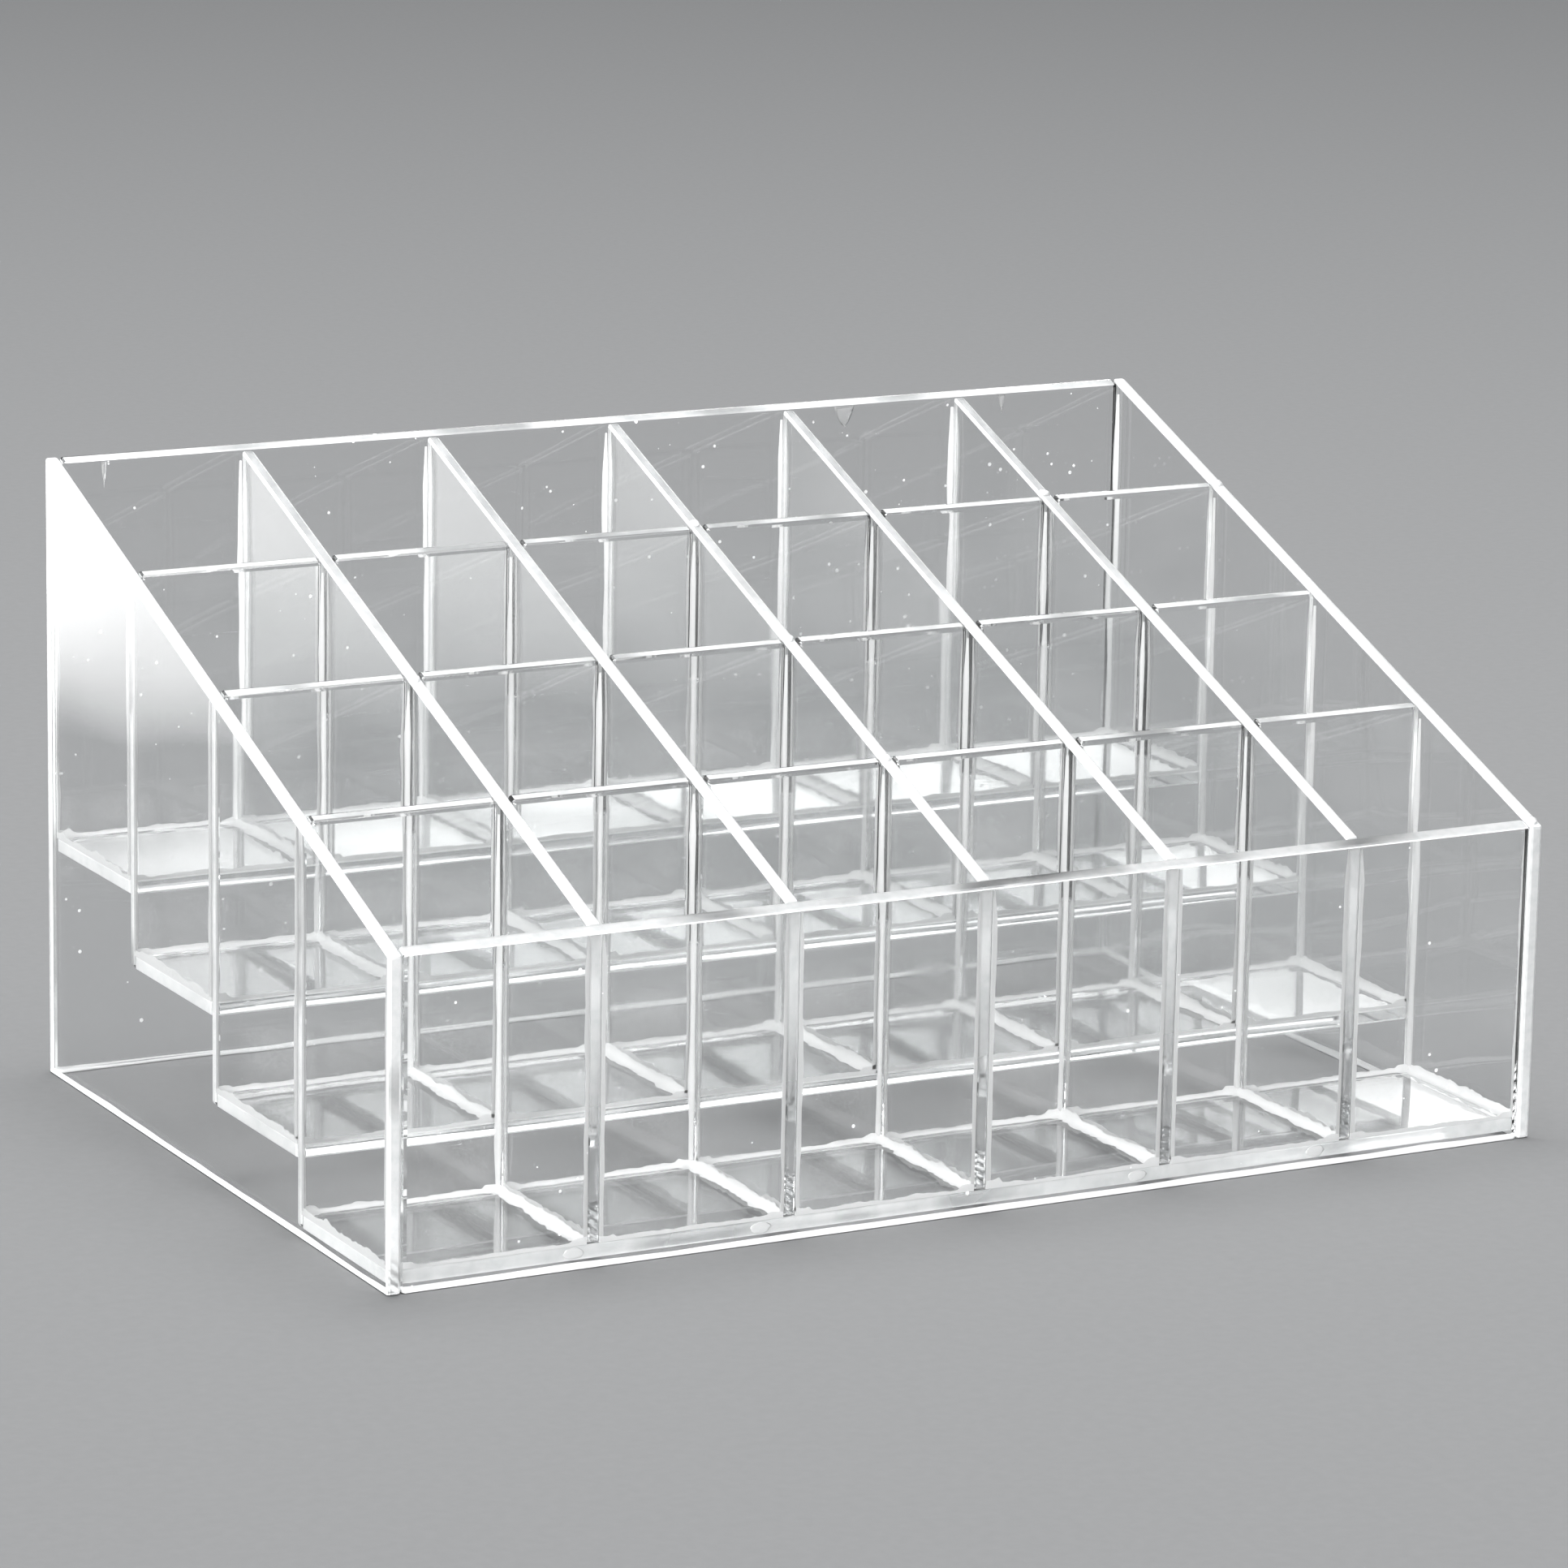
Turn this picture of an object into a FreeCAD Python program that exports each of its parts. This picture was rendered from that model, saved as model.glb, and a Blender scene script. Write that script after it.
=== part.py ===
import FreeCAD, Part
import os

# Clear tiered organizer for lipsticks and other small cosmetics, built from flat sheet pieces
# bonded edge to face: two sides, a front, a back, cross walls, stepped floors and long dividers.
# Millimetres, +Z up, front towards -Y, origin at the bottom centre.

# Cells: clear size of one cell seen from above, and how many stand side by side
cell_width = 22.3
cell_depth = 22.0
columns = 6

# Sheet thicknesses
outer_sheet = 1.6
inner_sheet = 1.5
floor_sheet = 1.6

# Heights: the top of every upright lies in one plane that falls from back to front
back_height = 73.5
front_height = 37.0
plinth_height = 0.8
floor_rises = (7.6, 10.1, 8.5)

# Fits: the cement film of a bonded edge, and the play of a halving slot
bond_gap = 0.1
slot_play = 0.1
slot_share = 0.5
cut_overrun = 2.0

# Overall size, and the faces that the inner pieces are set out from
rows = len(floor_rises) + 1
width = columns * cell_width + (columns - 1) * inner_sheet + outer_sheet + outer_sheet
depth = rows * cell_depth + (rows - 1) * inner_sheet + outer_sheet + outer_sheet
front_face = -depth / 2
back_face = depth / 2
front_inside = front_face + outer_sheet
back_inside = back_face - outer_sheet
side_inside = width / 2 - outer_sheet
cross_length = side_inside + side_inside - bond_gap - bond_gap
cross_start = -side_inside + bond_gap


def top_at(y):
    """Height of the sloping top plane at a distance y from the centre."""
    return front_height + (back_height - front_height) * (y - front_face) / depth


def row_front(row):
    """Front of a row's cells, with rows counted from 0 at the front."""
    return front_inside + row * (cell_depth + inner_sheet)


def row_back(row):
    return row_front(row) + cell_depth


def floor_underside(row):
    return plinth_height + sum(floor_rises[:row])


def floor_top(row):
    return floor_underside(row) + floor_sheet


def divider_start(column):
    """Left face of the divider that stands to the right of a column, counted from 0 at the left."""
    return -side_inside + (column + 1) * cell_width + column * inner_sheet


def slot_height(row):
    """Level at which the wall behind a row and a divider meet inside their halving slots."""
    lowest = floor_top(row + 1)
    return lowest + (top_at(row_back(row)) - lowest) * slot_share


def sheet(outline, start, thickness):
    """Flat piece whose outline lies in the YZ plane, extruded along X from start."""
    points = [FreeCAD.Vector(start, y, z) for y, z in outline]
    face = Part.Face(Part.makePolygon(points + points[:1]))
    return face.extrude(FreeCAD.Vector(thickness, 0, 0))


def side_panel(start):
    outline = [
        (front_face, 0),
        (back_face, 0),
        (back_face, back_height),
        (front_face, front_height),
    ]
    return sheet(outline, start, outer_sheet)


def upright(front, thickness, bottom):
    """Piece that crosses the organizer between the sides, with its top edge in the sloping plane."""
    back = front + thickness
    outline = [(front, bottom), (back, bottom), (back, top_at(back)), (front, top_at(front))]
    return sheet(outline, cross_start, cross_length)


def row_wall(row):
    """Wall behind a row, down to the underside of that row's floor, slotted from above."""
    wall = upright(row_back(row), inner_sheet, floor_underside(row))
    slot_bottom = slot_height(row) - slot_play
    slot_top = top_at(row_back(row) + inner_sheet) + cut_overrun
    for column in range(columns - 1):
        corner = FreeCAD.Vector(
            divider_start(column) - slot_play, row_back(row) - cut_overrun, slot_bottom
        )
        slot = Part.makeBox(
            inner_sheet + slot_play + slot_play,
            inner_sheet + cut_overrun + cut_overrun,
            slot_top - slot_bottom,
            corner,
        )
        wall = wall.cut(slot)
    return wall


def row_floor(row):
    front = row_front(row) + bond_gap
    back = row_back(row) - bond_gap
    low = floor_underside(row)
    high = floor_top(row)
    outline = [(front, low), (back, low), (back, high), (front, high)]
    return sheet(outline, cross_start, cross_length)


def column_divider(column):
    """Long divider that steps up from floor to floor, slotted from below over each row wall."""
    front = front_inside + bond_gap
    back = back_inside - bond_gap
    outline = [(front, floor_top(0) + bond_gap)]
    for row in range(rows - 1):
        slot_front = row_back(row) - slot_play
        slot_back = row_back(row) + inner_sheet + slot_play
        outline += [
            (slot_front, floor_top(row) + bond_gap),
            (slot_front, slot_height(row)),
            (slot_back, slot_height(row)),
            (slot_back, floor_top(row + 1) + bond_gap),
        ]
    outline += [
        (back, floor_top(rows - 1) + bond_gap),
        (back, top_at(back)),
        (front, top_at(front)),
    ]
    return sheet(outline, divider_start(column), inner_sheet)


pieces = {
    "left_side_panel": side_panel(-width / 2),
    "right_side_panel": side_panel(side_inside),
    "front_panel": upright(front_face, outer_sheet, 0),
    "back_panel": upright(back_inside, outer_sheet, 0),
}
for row in range(rows):
    pieces[f"row_floor_{row + 1}"] = row_floor(row)
for row in range(rows - 1):
    pieces[f"row_wall_{row + 1}"] = row_wall(row)
for column in range(columns - 1):
    pieces[f"column_divider_{column + 1}"] = column_divider(column)

os.makedirs("parts", exist_ok=True)
for name, piece in pieces.items():
    piece.exportStep(f"parts/{name}.step")
    box = piece.BoundBox
    print(f"{name}: {len(piece.Solids)} solid, {box.XLength:.2f} x {box.YLength:.2f} x {box.ZLength:.2f} mm")
print(f"overall {width:.2f} x {depth:.2f} x {back_height:.2f} mm")
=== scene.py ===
import math

import bmesh
import bpy
from mathutils import Matrix, Vector, noise


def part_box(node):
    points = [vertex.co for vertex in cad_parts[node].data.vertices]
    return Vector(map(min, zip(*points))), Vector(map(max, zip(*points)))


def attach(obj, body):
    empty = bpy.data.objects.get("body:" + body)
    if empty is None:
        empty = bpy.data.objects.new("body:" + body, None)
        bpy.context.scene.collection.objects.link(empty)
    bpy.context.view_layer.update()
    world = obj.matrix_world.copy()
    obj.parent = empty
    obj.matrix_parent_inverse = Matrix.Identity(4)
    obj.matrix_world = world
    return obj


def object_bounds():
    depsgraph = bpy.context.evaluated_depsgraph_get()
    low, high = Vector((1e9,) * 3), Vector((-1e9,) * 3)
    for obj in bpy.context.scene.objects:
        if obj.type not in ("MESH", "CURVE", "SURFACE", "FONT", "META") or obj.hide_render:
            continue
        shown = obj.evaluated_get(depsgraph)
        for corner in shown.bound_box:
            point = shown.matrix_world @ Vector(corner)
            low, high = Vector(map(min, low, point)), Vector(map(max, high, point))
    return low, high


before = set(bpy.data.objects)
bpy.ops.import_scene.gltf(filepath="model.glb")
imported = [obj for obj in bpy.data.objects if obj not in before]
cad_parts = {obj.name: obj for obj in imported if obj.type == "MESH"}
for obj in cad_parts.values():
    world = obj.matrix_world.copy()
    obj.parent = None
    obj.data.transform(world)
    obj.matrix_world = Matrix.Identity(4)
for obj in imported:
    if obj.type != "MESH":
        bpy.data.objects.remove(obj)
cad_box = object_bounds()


# The two side panels: clear acrylic sheet, 1.6 mm thick, cut with a sloping top edge.
# Their faces are glossy as cast and a little dusty, with a thin white band painted along the foot for the
# light the sheet pipes down to its bottom edge, and the cut edges are buffed to a slightly milky white.
def clear_sheet_finish(name, batch, haze, dust, painted_foot_glow):
    material = bpy.data.materials.new(name)
    material.use_nodes = True
    nodes = material.node_tree.nodes
    links = material.node_tree.links
    nodes.clear()

    acrylic = nodes.new("ShaderNodeBsdfPrincipled")
    acrylic.inputs["Base Color"].default_value = (0.97, 0.974, 0.974, 1.0)
    acrylic.inputs["IOR"].default_value = 1.49

    place = nodes.new("ShaderNodeTexCoord")
    shifted = nodes.new("ShaderNodeMapping")
    shifted.inputs["Location"].default_value = (batch, batch * 0.7, batch * 0.3)
    shifted.inputs["Scale"].default_value = (0.5, 0.5, 1.0)
    links.new(place.outputs["Object"], shifted.inputs["Vector"])

    ripple = nodes.new("ShaderNodeTexNoise")
    ripple.inputs["Scale"].default_value = 55.0
    ripple.inputs["Detail"].default_value = 0.0
    links.new(shifted.outputs["Vector"], ripple.inputs["Vector"])
    swell = nodes.new("ShaderNodeBump")
    swell.inputs["Strength"].default_value = 0.5
    swell.inputs["Distance"].default_value = 0.0006
    links.new(ripple.outputs["Fac"], swell.inputs["Height"])
    links.new(swell.outputs["Normal"], acrylic.inputs["Normal"])

    smear = nodes.new("ShaderNodeTexNoise")
    smear.inputs["Scale"].default_value = 90.0
    smear.inputs["Detail"].default_value = 2.0
    links.new(shifted.outputs["Vector"], smear.inputs["Vector"])
    wiped = nodes.new("ShaderNodeMapRange")
    wiped.inputs["From Min"].default_value = 0.6
    wiped.inputs["From Max"].default_value = 0.8
    wiped.inputs["To Min"].default_value = 0.0
    wiped.inputs["To Max"].default_value = 0.09
    links.new(smear.outputs["Fac"], wiped.inputs["Value"])
    links.new(wiped.outputs["Result"], acrylic.inputs["Roughness"])

    clear_where = []
    if haze:
        veil = nodes.new("ShaderNodeMapRange")
        veil.inputs["From Min"].default_value = 0.4
        veil.inputs["From Max"].default_value = 0.7
        veil.inputs["To Min"].default_value = 1.0
        veil.inputs["To Max"].default_value = 1.0 - haze
        links.new(smear.outputs["Fac"], veil.inputs["Value"])
        clear_where.append(veil.outputs["Result"])
    if dust:
        specks = nodes.new("ShaderNodeTexVoronoi")
        specks.inputs["Scale"].default_value = 620.0
        links.new(place.outputs["Object"], specks.inputs["Vector"])
        lot = nodes.new("ShaderNodeSeparateColor")
        links.new(specks.outputs["Color"], lot.inputs["Color"])
        speck_size = nodes.new("ShaderNodeMapRange")
        speck_size.inputs["From Min"].default_value = 1.0 - dust
        speck_size.inputs["From Max"].default_value = 1.0
        speck_size.inputs["To Min"].default_value = 0.0
        speck_size.inputs["To Max"].default_value = 0.16
        links.new(lot.outputs["Red"], speck_size.inputs["Value"])
        clean = nodes.new("ShaderNodeMath")
        clean.operation = "GREATER_THAN"
        links.new(specks.outputs["Distance"], clean.inputs[0])
        links.new(speck_size.outputs["Result"], clean.inputs[1])
        clear_where.append(clean.outputs["Value"])
    # Painted glow: a thin white band along the foot, about 0.5 mm high, stands in for light the sheet pipes
    # down to its bottom edge.
    if painted_foot_glow:
        height = nodes.new("ShaderNodeSeparateXYZ")
        links.new(place.outputs["Object"], height.inputs["Vector"])
        foot_glow_height = nodes.new("ShaderNodeMath")
        foot_glow_height.operation = "MULTIPLY"
        foot_glow_height.inputs[1].default_value = 2 * painted_foot_glow
        links.new(smear.outputs["Fac"], foot_glow_height.inputs[0])
        above = nodes.new("ShaderNodeMath")
        above.operation = "GREATER_THAN"
        links.new(height.outputs["Z"], above.inputs[0])
        links.new(foot_glow_height.outputs["Value"], above.inputs[1])
        clear_where.append(above.outputs["Value"])
    acrylic.inputs["Transmission Weight"].default_value = 1.0
    if clear_where:
        clearness = clear_where[0]
        for other in clear_where[1:]:
            both = nodes.new("ShaderNodeMath")
            both.operation = "MULTIPLY"
            links.new(clearness, both.inputs[0])
            links.new(other, both.inputs[1])
            clearness = both.outputs["Value"]
        links.new(clearness, acrylic.inputs["Transmission Weight"])

    passing = nodes.new("ShaderNodeBsdfTransparent")
    passing.inputs["Color"].default_value = (0.97, 0.97, 0.97, 1.0)
    ray = nodes.new("ShaderNodeLightPath")
    soft_ray = nodes.new("ShaderNodeMath")
    soft_ray.operation = "MAXIMUM"
    links.new(ray.outputs["Is Shadow Ray"], soft_ray.inputs[0])
    links.new(ray.outputs["Is Diffuse Ray"], soft_ray.inputs[1])
    shade = nodes.new("ShaderNodeMixShader")
    links.new(soft_ray.outputs["Value"], shade.inputs["Fac"])
    links.new(acrylic.outputs["BSDF"], shade.inputs[1])
    links.new(passing.outputs["BSDF"], shade.inputs[2])
    out = nodes.new("ShaderNodeOutputMaterial")
    links.new(shade.outputs["Shader"], out.inputs["Surface"])
    return material


def buffed_edge_finish(name, clarity, roughness, fades_along=None, fades_between=None):
    material = bpy.data.materials.new(name)
    material.use_nodes = True
    nodes = material.node_tree.nodes
    links = material.node_tree.links
    nodes.clear()

    place = nodes.new("ShaderNodeTexCoord")
    saw_marks = nodes.new("ShaderNodeTexNoise")
    saw_marks.inputs["Scale"].default_value = 900.0
    saw_marks.inputs["Detail"].default_value = 3.0
    links.new(place.outputs["Object"], saw_marks.inputs["Vector"])
    milk = nodes.new("ShaderNodeValToRGB")
    milk.color_ramp.elements[0].position = 0.3
    milk.color_ramp.elements[0].color = (0.86, 0.88, 0.88, 1.0)
    milk.color_ramp.elements[1].position = 0.6
    milk.color_ramp.elements[1].color = (0.98, 0.985, 0.985, 1.0)
    links.new(saw_marks.outputs["Fac"], milk.inputs["Fac"])
    tooth = nodes.new("ShaderNodeBump")
    tooth.inputs["Strength"].default_value = 0.25
    tooth.inputs["Distance"].default_value = 0.00005
    links.new(saw_marks.outputs["Fac"], tooth.inputs["Height"])

    edge = nodes.new("ShaderNodeBsdfPrincipled")
    edge.inputs["Roughness"].default_value = roughness
    edge.inputs["IOR"].default_value = 1.49
    polish = nodes.new("ShaderNodeMapRange")
    polish.inputs["To Min"].default_value = clarity[0]
    polish.inputs["To Max"].default_value = clarity[1]
    if fades_along:
        distance = nodes.new("ShaderNodeSeparateXYZ")
        links.new(place.outputs["Object"], distance.inputs["Vector"])
        polish.inputs["From Min"].default_value = fades_between[0]
        polish.inputs["From Max"].default_value = fades_between[1]
        links.new(distance.outputs[fades_along], polish.inputs["Value"])
    else:
        stretches = nodes.new("ShaderNodeTexNoise")
        stretches.inputs["Scale"].default_value = 70.0
        stretches.inputs["Detail"].default_value = 1.0
        links.new(place.outputs["Object"], stretches.inputs["Vector"])
        polish.inputs["From Min"].default_value = 0.5
        polish.inputs["From Max"].default_value = 0.65
        links.new(stretches.outputs["Fac"], polish.inputs["Value"])
    links.new(polish.outputs["Result"], edge.inputs["Transmission Weight"])
    links.new(milk.outputs["Color"], edge.inputs["Base Color"])
    links.new(tooth.outputs["Normal"], edge.inputs["Normal"])
    glow = nodes.new("ShaderNodeBsdfTranslucent")
    links.new(milk.outputs["Color"], glow.inputs["Color"])
    both = nodes.new("ShaderNodeMixShader")
    both.inputs["Fac"].default_value = 0.15
    links.new(edge.outputs["BSDF"], both.inputs[1])
    links.new(glow.outputs["BSDF"], both.inputs[2])
    out = nodes.new("ShaderNodeOutputMaterial")
    links.new(both.outputs["Shader"], out.inputs["Surface"])
    return material


def closed_corners():
    group = bpy.data.node_groups.new("closed_corners", "GeometryNodeTree")
    group.interface.new_socket("Geometry", in_out="INPUT", socket_type="NodeSocketGeometry")
    group.interface.new_socket("Geometry", in_out="OUTPUT", socket_type="NodeSocketGeometry")
    start = group.nodes.new("NodeGroupInput")
    plain = group.nodes.new("GeometryNodeRemoveAttribute")
    plain.inputs["Name"].default_value = "custom_normal"
    sharp = group.nodes.new("GeometryNodeRemoveAttribute")
    sharp.inputs["Name"].default_value = "sharp_edge"
    joined = group.nodes.new("GeometryNodeMergeByDistance")
    joined.inputs["Distance"].default_value = 0.000001
    end = group.nodes.new("NodeGroupOutput")
    group.links.new(start.outputs["Geometry"], plain.inputs["Geometry"])
    group.links.new(plain.outputs["Geometry"], sharp.inputs["Geometry"])
    group.links.new(sharp.outputs["Geometry"], joined.inputs["Geometry"])
    group.links.new(joined.outputs["Geometry"], end.inputs["Geometry"])
    return group


def cut_edges(name, axis, least, beyond, finish):
    group = bpy.data.node_groups.new(name, "GeometryNodeTree")
    group.interface.new_socket("Geometry", in_out="INPUT", socket_type="NodeSocketGeometry")
    group.interface.new_socket("Geometry", in_out="OUTPUT", socket_type="NodeSocketGeometry")
    start = group.nodes.new("NodeGroupInput")
    end = group.nodes.new("NodeGroupOutput")

    def over(field, limit):
        along = group.nodes.new("ShaderNodeVectorMath")
        along.operation = "DOT_PRODUCT"
        along.inputs[1].default_value = axis
        group.links.new(field, along.inputs[0])
        test = group.nodes.new("FunctionNodeCompare")
        test.data_type = "FLOAT"
        test.operation = "GREATER_THAN"
        test.inputs["B"].default_value = limit
        group.links.new(along.outputs["Value"], test.inputs["A"])
        return test.outputs["Result"]

    both = group.nodes.new("FunctionNodeBooleanMath")
    both.operation = "AND"
    facing = over(group.nodes.new("GeometryNodeInputNormal").outputs["Normal"], least)
    outside = over(group.nodes.new("GeometryNodeInputPosition").outputs["Position"], beyond)
    group.links.new(facing, both.inputs[0])
    group.links.new(outside, both.inputs[1])
    paint = group.nodes.new("GeometryNodeSetMaterialIndex")
    paint.inputs["Material Index"].default_value = finish
    group.links.new(start.outputs["Geometry"], paint.inputs["Geometry"])
    group.links.new(both.outputs["Boolean"], paint.inputs["Selection"])
    group.links.new(paint.outputs["Geometry"], end.inputs["Geometry"])
    return group


def finish_sheet(node, face, edge, arris, arris_finish, cuts, core=None, end=None):
    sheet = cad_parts[node]
    sheet.data.materials.clear()
    for finish in (face, edge, core or edge, end or edge):
        sheet.data.materials.append(finish)
    corners = sheet.modifiers.new("closed_corners", "NODES")
    corners.node_group = closed
    rounding = sheet.modifiers.new("rounded_arrises", "BEVEL")
    rounding.width = arris
    rounding.segments = 2
    rounding.limit_method = "ANGLE"
    rounding.angle_limit = math.radians(30)
    rounding.material = arris_finish
    for cut in cuts:
        dressed = sheet.modifiers.new(cut.name, "NODES")
        dressed.node_group = cut


def top_at(y):
    return front_height + top_fall * (y - front_face)


front_face = cad_box[0][1]
front_height = 0.037
top_fall = (cad_box[1][2] - front_height) / (cad_box[1][1] - front_face)

closed = closed_corners()
FACE, WHITE, CORE, END = 0, 1, 2, 3
anywhere = -1.0
flat = 0.9
flat_top = 0.97
flat_and_arris = 0.3
up_the_slope = Vector((0, -top_fall, 1)).normalized()
forwards = (0, -1, 0)
backwards = (0, 1, 0)
downwards = (0, 0, -1)
white_top = cut_edges("white_top", up_the_slope, flat_top, anywhere, WHITE)
white_foot = cut_edges("white_foot", downwards, flat_and_arris, anywhere, WHITE)
cored_front = cut_edges("cored_front", forwards, flat, anywhere, CORE)
white_back = cut_edges("white_back", backwards, flat, anywhere, WHITE)
white_edge = buffed_edge_finish("buffed_white_edge", clarity=(0.05, 0.2), roughness=0.28)
front_post_edge = buffed_edge_finish("buffed_front_post_edge", clarity=(0.3, 0.7), roughness=0.2)

side_sheet = clear_sheet_finish("clear_side_sheet", batch=0.0, haze=0, dust=0.2, painted_foot_glow=0.0005)
for node in ("left_side_panel", "right_side_panel"):
    finish_sheet(node, side_sheet, white_edge, arris=0.00035, arris_finish=WHITE,
                 cuts=(white_top, white_foot, cored_front, white_back), core=front_post_edge)


# The front and back panels: the same 1.6 mm sheet, bonded between the side panels.
# The front one is half as tall as the back one. Both have a buffed top edge, on the front panel white
# along its two arrises and clearer between them.
near_ends = 0.0703
flat_and_rim = 0.5
white_left_end = cut_edges("white_left_end", (-1, 0, 0), flat, near_ends, WHITE)
white_right_end = cut_edges("white_right_end", (1, 0, 0), flat, near_ends, WHITE)
white_rim = cut_edges("white_rim", up_the_slope, flat_and_rim, anywhere, WHITE)
cored_top = cut_edges("cored_top", up_the_slope, flat_top, anywhere, CORE)
front_top = buffed_edge_finish("buffed_front_top", clarity=(0.42, 0.9), roughness=0.15)
front_sheet = clear_sheet_finish("clear_front_sheet", batch=7.0, haze=0.035, dust=0.06, painted_foot_glow=0.0005)
finish_sheet("front_panel", front_sheet, white_edge, arris=0.00042, arris_finish=FACE,
             cuts=(white_rim, cored_top, white_foot, white_left_end, white_right_end), core=front_top)

cross_edge = buffed_edge_finish("buffed_cross_edge", clarity=(0.1, 0.7), roughness=0.2)
back_sheet = clear_sheet_finish("clear_back_sheet", batch=11.0, haze=0, dust=0.25, painted_foot_glow=0.0005)
finish_sheet("back_panel", back_sheet, cross_edge, arris=0.00042, arris_finish=FACE,
             cuts=(white_top, white_foot, white_left_end, white_right_end))


# The four row floors: strips of the same sheet, one to a step, bonded between the side panels.
# Their arrises and ends are white and show through the side panels as bright bands. The long edges are
# clear, but for the front edge of the first, which the cement has blotched.
floor_sheet = clear_sheet_finish("clear_floor_sheet", batch=23.0, haze=0, dust=0, painted_foot_glow=0)
floor_front = buffed_edge_finish("blotched_floor_front", clarity=(0.45, 0.95), roughness=0.2)
finish_sheet("row_floor_1", floor_sheet, white_edge, arris=0.0002, arris_finish=WHITE,
             cuts=(white_left_end, white_right_end, cored_front), core=floor_front)
for row in (2, 3, 4):
    finish_sheet(f"row_floor_{row}", floor_sheet, white_edge, arris=0.0002, arris_finish=WHITE,
                 cuts=(white_left_end, white_right_end))


# The three row walls: 1.5 mm sheet, each also the riser of the step behind it.
# They are slotted from above, where the dividers come down into them.
wall_sheet = clear_sheet_finish("clear_wall_sheet", batch=37.0, haze=0.035, dust=0, painted_foot_glow=0)
for wall in (1, 2, 3):
    finish_sheet(f"row_wall_{wall}", wall_sheet, cross_edge, arris=0.00042, arris_finish=FACE,
                 cuts=(white_top, white_left_end, white_right_end))


# The five column dividers: 1.5 mm sheet with stepped feet that stand on the row floors.
# They are slotted from below and pushed down over the row walls, then bonded at the feet. The top edges
# are white at the front and clearer at the back, the front ends milky above and polished clear below.
near_front_and_back = 0.045
white_top_arris = cut_edges("white_top_arris", up_the_slope, flat_and_arris, anywhere, WHITE)
white_rear_end = cut_edges("white_rear_end", backwards, flat, near_front_and_back, WHITE)
white_front_arris = cut_edges("white_front_arris", forwards, flat_and_arris, near_front_and_back, WHITE)
polished_front_end = cut_edges("polished_front_end", forwards, flat, near_front_and_back, END)
divider_top = buffed_edge_finish("buffed_divider_top", clarity=(0.05, 0.8), roughness=0.2,
                                 fades_along="Y", fades_between=(-0.008, 0.03))
divider_front = buffed_edge_finish("polished_divider_front", clarity=(0.95, 0.3), roughness=0.1,
                                   fades_along="Z", fades_between=(0.016, 0.03))
divider_sheet = clear_sheet_finish("clear_divider_sheet", batch=51.0, haze=0, dust=0, painted_foot_glow=0)
for divider in (1, 2, 3, 4, 5):
    finish_sheet(f"column_divider_{divider}", divider_sheet, white_edge, arris=0.0003, arris_finish=FACE,
                 cuts=(white_top_arris, cored_top, white_rear_end, white_front_arris, polished_front_end),
                 core=divider_top, end=divider_front)


# The cement: solvent cement run into every inside corner of the cells, and dried clear.
# It leaves a small hollow fillet round each cell floor and up each corner, uneven in thickness and
# milkiest in the tall corners at the back.
def dried_cement_finish(name, see_through):
    material = bpy.data.materials.new(name)
    material.use_nodes = True
    nodes = material.node_tree.nodes
    links = material.node_tree.links
    cement = nodes["Principled BSDF"]
    cement.inputs["Base Color"].default_value = (0.97, 0.975, 0.975, 1.0)
    cement.inputs["IOR"].default_value = 1.47
    cement.inputs["Transmission Weight"].default_value = see_through
    place = nodes.new("ShaderNodeTexCoord")
    bubbles = nodes.new("ShaderNodeTexNoise")
    bubbles.inputs["Scale"].default_value = 1400.0
    links.new(place.outputs["Object"], bubbles.inputs["Vector"])
    skin = nodes.new("ShaderNodeBump")
    skin.inputs["Strength"].default_value = 0.4
    skin.inputs["Distance"].default_value = 0.0001
    links.new(bubbles.outputs["Fac"], skin.inputs["Height"])
    links.new(skin.outputs["Normal"], cement.inputs["Normal"])
    gloss = nodes.new("ShaderNodeMapRange")
    gloss.inputs["To Min"].default_value = 0.05
    gloss.inputs["To Max"].default_value = 0.25
    links.new(bubbles.outputs["Fac"], gloss.inputs["Value"])
    links.new(gloss.outputs["Result"], cement.inputs["Roughness"])
    return material


def uneven(base, along, seed):
    slow = noise.noise(Vector((along * 260, seed * 7.31, 0.5)))
    beads = noise.noise(Vector((along * 1300, seed * 3.17, 4.5)))
    return base * (1 + 0.45 * slow + 0.35 * beads)


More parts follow.
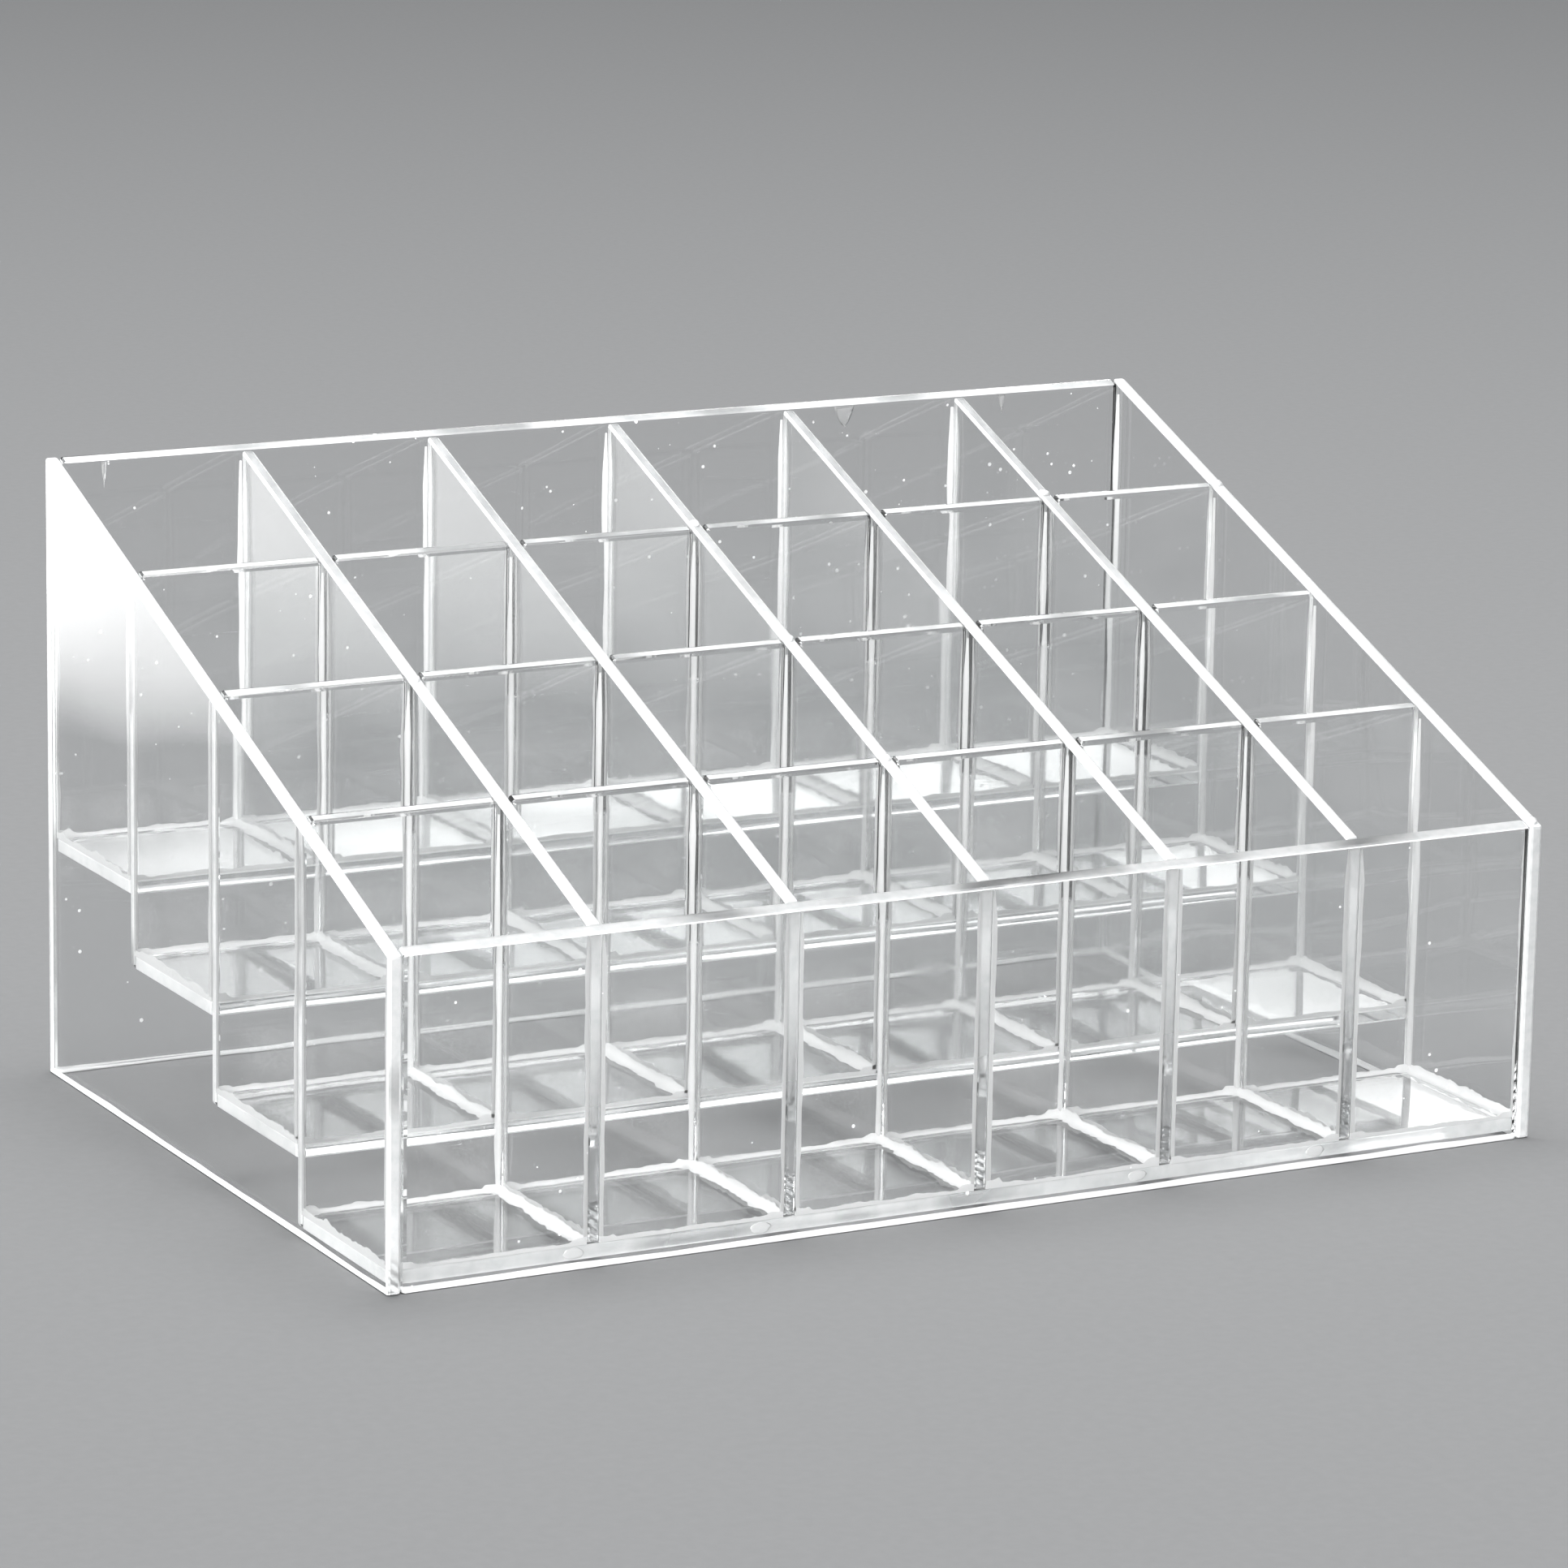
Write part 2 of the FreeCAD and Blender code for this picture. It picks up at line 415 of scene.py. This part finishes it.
def foot_fillet(bm, low, high, level, seed):
    corner = 0.0016
    leg = 0.0009
    rise = 0.0008
    bends = 4
    straight_steps = 40
    bold_beside_dividers = 1.15
    bold_beside_walls = 0.55
    path = []
    centres = ((low[0] + corner, low[1] + corner, 180), (high[0] - corner, low[1] + corner, 270),
               (high[0] - corner, high[1] - corner, 0), (low[0] + corner, high[1] - corner, 90))
    for i, (cx, cy, start) in enumerate(centres):
        for step in range(bends + 1):
            turn = math.radians(start + 90 * step / bends)
            way = Vector((math.cos(turn), math.sin(turn), 0))
            reach = corner / max(abs(way.x), abs(way.y))
            path.append((Vector((cx, cy, level)) + way * reach, -way, reach - corner, 1.0))
        nx, ny, _ = centres[(i + 1) % 4]
        wall = Vector((math.cos(turn), math.sin(turn), 0))
        first = Vector((cx, cy, level)) + wall * corner
        last = Vector((nx, ny, level)) + wall * corner
        bold = bold_beside_dividers if abs(wall.x) > 0.5 else bold_beside_walls
        for step in range(1, straight_steps):
            path.append((first.lerp(last, step / straight_steps), -wall, 0.0, bold))
    rings = []
    for at, inward, extra, bold in path:
        a = uneven(leg * bold, at.x + at.y, seed) + extra
        h = uneven(rise * bold, at.x - at.y, seed + 0.37)
        ring = [bm.verts.new(at)]
        for step in range(hollow_steps + 1):
            sweep = math.radians(90 * step / hollow_steps)
            ring.append(bm.verts.new(at + inward * a * (1 - math.cos(sweep))
                                     + Vector((0, 0, h * (1 - math.sin(sweep))))))
        rings.append(ring)
    for i, ring in enumerate(rings):
        other = rings[(i + 1) % len(rings)]
        for j in range(len(ring)):
            k = (j + 1) % len(ring)
            bm.faces.new((ring[j], other[j], other[k], ring[k]))


def corner_fillet(bm, corner, side_x, side_y, bottom, top, finish, seed):
    levels = 9
    full_radius = 0.00045
    thin_tip = 0.45
    rings = []
    for step in range(levels + 1):
        z = bottom + (top - bottom) * step / levels
        radius = uneven(full_radius, z, seed) * (thin_tip if step == levels else 1.0)
        ring = [bm.verts.new((corner[0], corner[1], z))]
        for turn in range(hollow_steps + 1):
            sweep = math.radians(90 * turn / hollow_steps)
            ring.append(bm.verts.new((corner[0] + side_x * radius * (1 - math.cos(sweep)),
                                      corner[1] + side_y * radius * (1 - math.sin(sweep)), z)))
        rings.append(ring)
    for lower, upper in zip(rings, rings[1:]):
        for j in range(len(lower)):
            k = (j + 1) % len(lower)
            bm.faces.new((lower[j], lower[k], upper[k], upper[j])).material_index = finish
    for ring in (rings[0], rings[-1]):
        for j in range(1, len(ring) - 1):
            bm.faces.new((ring[0], ring[j], ring[j + 1])).material_index = finish


MILKY, THIN = 0, 1
hollow_steps = 5
film = 0.00002
above_floor = 0.0005
short_of_rim = 0.0012
cement_pieces = []
milky_cement = dried_cement_finish("milky_cement", 0.3)
thin_cement = dried_cement_finish("thin_cement", 0.5)
upright_faces = [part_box("left_side_panel")[1][0]]
for divider in (1, 2, 3, 4, 5):
    upright_faces.append(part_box(f"column_divider_{divider}")[0][0])
    upright_faces.append(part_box(f"column_divider_{divider}")[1][0])
upright_faces.append(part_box("right_side_panel")[0][0])
cross_pieces = ["front_panel", "row_wall_1", "row_wall_2", "row_wall_3", "back_panel"]
for row in (1, 2, 3, 4):
    bm = bmesh.new()
    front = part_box(cross_pieces[row - 1])[1][1] + film
    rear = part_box(cross_pieces[row])[0][1] - film
    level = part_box(f"row_floor_{row}")[1][2] + film
    for column in range(6):
        left = upright_faces[2 * column] + film
        right = upright_faces[2 * column + 1] - film
        seed = row * 10 + column
        foot_fillet(bm, (left, front), (right, rear), level, seed)
        for y, side_y, finish in ((front, 1, THIN), (rear, -1, MILKY if row == 4 else THIN)):
            top = top_at(y) - short_of_rim
            for x, side_x in ((left, 1), (right, -1)):
                corner_fillet(bm, (x, y), side_x, side_y, level + above_floor, top, finish,
                              seed + side_x * 0.2 + side_y * 0.3)
    bmesh.ops.recalc_face_normals(bm, faces=bm.faces)
    for face in bm.faces:
        face.smooth = True
    mesh = bpy.data.meshes.new(f"cement_row_{row}")
    bm.to_mesh(mesh)
    bm.free()
    mesh.set_sharp_from_angle(angle=math.radians(40))
    cement = bpy.data.objects.new(f"cement_row_{row}", mesh)
    bpy.context.scene.collection.objects.link(cement)
    cement.data.materials.append(milky_cement)
    cement.data.materials.append(thin_cement)
    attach(cement, "root")
    cement_pieces.append(cement)


# The squeezed-out cement: small milky beads on the top edges where sheets cross, flat blots in the joint
# behind the foot of the front panel, and three runs that dried on the back panel under its top edge.
def cement_blob(bm, centre, half, taper, ceiling, seed):
    lumpiness = 0.22
    made = bmesh.ops.create_icosphere(bm, subdivisions=3, radius=1.0)
    for vert in made["verts"]:
        lump = 1 + lumpiness * noise.noise(vert.co * 1.7 + Vector((seed * 5.3, 0, 0)))
        narrow = 1 + taper * vert.co.z
        vert.co = Vector((centre[0] + vert.co.x * half[0] * lump * narrow,
                          centre[1] + vert.co.y * half[1] * lump,
                          min(centre[2] + vert.co.z * half[2] * lump, ceiling)))
    for face in {face for vert in made["verts"] for face in vert.link_faces}:
        face.smooth = True


def cement_piece(name, bm, finish):
    mesh = bpy.data.meshes.new(name)
    bm.to_mesh(mesh)
    bm.free()
    mesh.materials.append(finish)
    piece = bpy.data.objects.new(name, mesh)
    bpy.context.scene.collection.objects.link(piece)
    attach(piece, "root")
    cement_pieces.append(piece)


no_taper = 0.0
bead_half_size = (0.0006, 0.0009, 0.00045)
bead_sunk = 0.00005
blot_half_size = (0.0012, 0.00004, 0.0006)
beads = bmesh.new()
bead_places = (("column_divider_3", "row_wall_1", 0.0004), ("column_divider_3", "row_wall_2", 0.0006),
               ("column_divider_3", "row_wall_3", 0.0009), ("column_divider_5", "row_wall_3", 0.0012),
               ("right_side_panel", "row_wall_3", 0.0002), ("column_divider_1", "row_wall_2", -0.0005),
               ("right_side_panel", "front_panel", 0.0005))
for seed, (upright, wall, past) in enumerate(bead_places):
    x = (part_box(upright)[0][0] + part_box(upright)[1][0]) / 2
    y = (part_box(wall)[0][1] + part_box(wall)[1][1]) / 2 + past
    cement_blob(beads, (x, y, top_at(y) - bead_sunk), bead_half_size, no_taper, cad_box[1][2], seed)
film_middle = (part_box("front_panel")[1][1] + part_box("row_floor_1")[0][1]) / 2
floor_middle = (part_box("row_floor_1")[0][2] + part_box("row_floor_1")[1][2]) / 2
for divider, past in ((1, 0.0016), (2, 0.0028), (4, 0.0029), (5, 0.0032)):
    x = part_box(f"column_divider_{divider}")[0][0] - past
    blot = (x, film_middle, floor_middle)
    cement_blob(beads, blot, blot_half_size, no_taper, cad_box[1][2], divider + 20)
cement_piece("cement_beads", beads, milky_cement)

run_cement = dried_cement_finish("run_cement", 0.75)
run_taper = 0.7
run_half_depth = 0.00011
run_stands_off = 0.00016
runs = bmesh.new()
run_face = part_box("back_panel")[0][1] - film
rim = top_at(run_face) - 0.0001
run_places = ((-0.0656, 0.0003, 0.0016), (0.0316, 0.0013, 0.0014), (0.0537, 0.0004, 0.0013))
for seed, (x, wide, tall) in enumerate(run_places):
    run = (x, run_face - run_stands_off, rim - 0.35 * tall)
    cement_blob(runs, run, (wide, run_half_depth, 1.5 * tall), run_taper, rim, seed + 9)
cement_piece("cement_runs", runs, run_cement)


# The studio: a plain pale grey table top, evenly lit by a wide wash of its own, with one large soft light
# overhead and a dim surround. Three low soft lights fall on the organizer alone, and two small cards lay
# the soft white patches on its left side panel and on its back panel, behind the dividers.
def table_finish():
    material = bpy.data.materials.new("pale_table_top")
    material.use_nodes = True
    nodes = material.node_tree.nodes
    links = material.node_tree.links
    board = nodes["Principled BSDF"]
    board.inputs["Roughness"].default_value = 0.85
    board.inputs["Specular IOR Level"].default_value = 0.2
    place = nodes.new("ShaderNodeTexCoord")
    grain = nodes.new("ShaderNodeTexNoise")
    grain.inputs["Scale"].default_value = 700.0
    grain.inputs["Detail"].default_value = 3.0
    links.new(place.outputs["Object"], grain.inputs["Vector"])
    tone = nodes.new("ShaderNodeValToRGB")
    tone.color_ramp.elements[0].color = (0.176, 0.178, 0.18, 1.0)
    tone.color_ramp.elements[1].color = (0.196, 0.198, 0.2, 1.0)
    links.new(grain.outputs["Fac"], tone.inputs["Fac"])
    links.new(tone.outputs["Color"], board.inputs["Base Color"])
    return material


table_reach = 12.0
table_mesh = bpy.data.meshes.new("table_top")
table_mesh.from_pydata(
    [(-table_reach, -table_reach, 0), (table_reach, -table_reach, 0),
     (table_reach, table_reach, 0), (-table_reach, table_reach, 0)],
    [], [(0, 1, 2, 3)])
table = bpy.data.objects.new("table_top", table_mesh)
bpy.context.scene.collection.objects.link(table)
table.data.materials.append(table_finish())


def soft_light(name, place, aim, size, power):
    data = bpy.data.lights.new(name, "AREA")
    data.shape = "RECTANGLE"
    data.size = size[0]
    data.size_y = size[1]
    data.energy = power
    data.use_nodes = True
    nodes = data.node_tree.nodes
    links = data.node_tree.links
    spread = nodes.new("ShaderNodeNewGeometry")
    across = nodes.new("ShaderNodeSeparateXYZ")
    links.new(spread.outputs["Parametric"], across.inputs["Vector"])
    falls = []
    for axis in ("X", "Y"):
        rest = nodes.new("ShaderNodeMath")
        rest.operation = "SUBTRACT"
        rest.inputs[0].default_value = 1.0
        links.new(across.outputs[axis], rest.inputs[1])
        fall = nodes.new("ShaderNodeMath")
        fall.operation = "MULTIPLY"
        links.new(across.outputs[axis], fall.inputs[0])
        links.new(rest.outputs["Value"], fall.inputs[1])
        falls.append(fall)
    glow = nodes.new("ShaderNodeMath")
    glow.operation = "MULTIPLY"
    links.new(falls[0].outputs["Value"], glow.inputs[0])
    links.new(falls[1].outputs["Value"], glow.inputs[1])
    full_at_middle = 16.0
    full = nodes.new("ShaderNodeMath")
    full.operation = "MULTIPLY"
    full.inputs[1].default_value = full_at_middle
    links.new(glow.outputs["Value"], full.inputs[0])
    links.new(full.outputs["Value"], nodes["Emission"].inputs["Strength"])
    lamp = bpy.data.objects.new(name, data)
    lamp.location = place
    lamp.rotation_euler = (Vector(aim) - Vector(place)).to_track_quat("-Z", "Y").to_euler()
    lamp.visible_camera = False
    bpy.context.scene.collection.objects.link(lamp)
    return lamp


def light_only(lamp, pieces):
    reach = bpy.data.collections.new(f"lit_by_{lamp.name}")
    for piece in pieces:
        reach.objects.link(piece)
    lamp.light_linking.receiver_collection = reach


middle = (0, 0, 0.03)
organizer = list(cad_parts.values()) + cement_pieces
soft_light("overhead_softbox", (0.1, 0.15, 1.3), middle, size=(0.9, 0.7), power=38.0)
back_light = soft_light("back_softbox", (0.55, 0.95, 0.36), middle, size=(0.6, 0.3), power=2.6)
light_only(back_light, organizer)
wash = soft_light("table_wash", (0, 0, 2.4), (0, 0, 0), size=(4.0, 4.0), power=200.0)
light_only(wash, [table])
left_light = soft_light("left_softbox", (-0.75, -0.25, 0.22), middle, size=(0.4, 0.3), power=18.0)
light_only(left_light, organizer)
front_light = soft_light("front_fill", (-0.25, -0.95, 0.22), middle, size=(0.5, 0.3), power=15.0)
light_only(front_light, organizer)
left_card = soft_light("left_bounce_card", (-0.124, 0.179, 0.045), (-0.0769, 0.0908, 0.045),
                       size=(0.105, 0.074), power=0.085)
light_only(left_card, [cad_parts["left_side_panel"]])
back_card = soft_light("back_bounce_card", (-0.11, 0.17, 0.045), (-0.065, 0.03, 0.05),
                       size=(0.14, 0.075), power=0.065)
light_only(back_card, [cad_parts["back_panel"]])

surround = bpy.data.worlds.new("studio_surround")
surround.use_nodes = True
surround.node_tree.nodes["Background"].inputs["Color"].default_value = (0.9, 0.95, 1.0, 1.0)
surround.node_tree.nodes["Background"].inputs["Strength"].default_value = 0.2
bpy.context.scene.world = surround
bpy.context.scene.view_settings.view_transform = "Standard"
bpy.context.scene.cycles.max_bounces = 24
bpy.context.scene.cycles.transmission_bounces = 24
bpy.context.scene.cycles.glossy_bounces = 8
bpy.context.scene.cycles.transparent_max_bounces = 64
bpy.context.scene.cycles.caustics_reflective = False
bpy.context.scene.cycles.caustics_refractive = False


# The camera: a long lens, low and to the left, with the slight tilt of the photograph.
# Its place and lens were solved from the corners and crossings of the real organizer.
camera_data = bpy.data.cameras.new("photo_camera")
camera_data.sensor_width = 36.0
camera_data.lens = 152.392
camera = bpy.data.objects.new("photo_camera", camera_data)
azimuth = math.radians(-28.112)
elevation = math.radians(13.260)
roll = math.radians(1.054)
eye = Vector((-0.3511, -0.6564, 0.21375))
back = Vector((math.sin(azimuth) * math.cos(elevation), -math.cos(azimuth) * math.cos(elevation),
               math.sin(elevation)))
right = (-back).cross(Vector((0, 0, 1))).normalized()
up = right.cross(-back)
turned_right = right * math.cos(roll) + up * math.sin(roll)
turned_up = up * math.cos(roll) - right * math.sin(roll)
facing = Matrix((turned_right, turned_up, back)).transposed()
camera.matrix_world = Matrix.Translation(eye) @ facing.to_4x4()
bpy.context.scene.collection.objects.link(camera)
bpy.context.scene.camera = camera
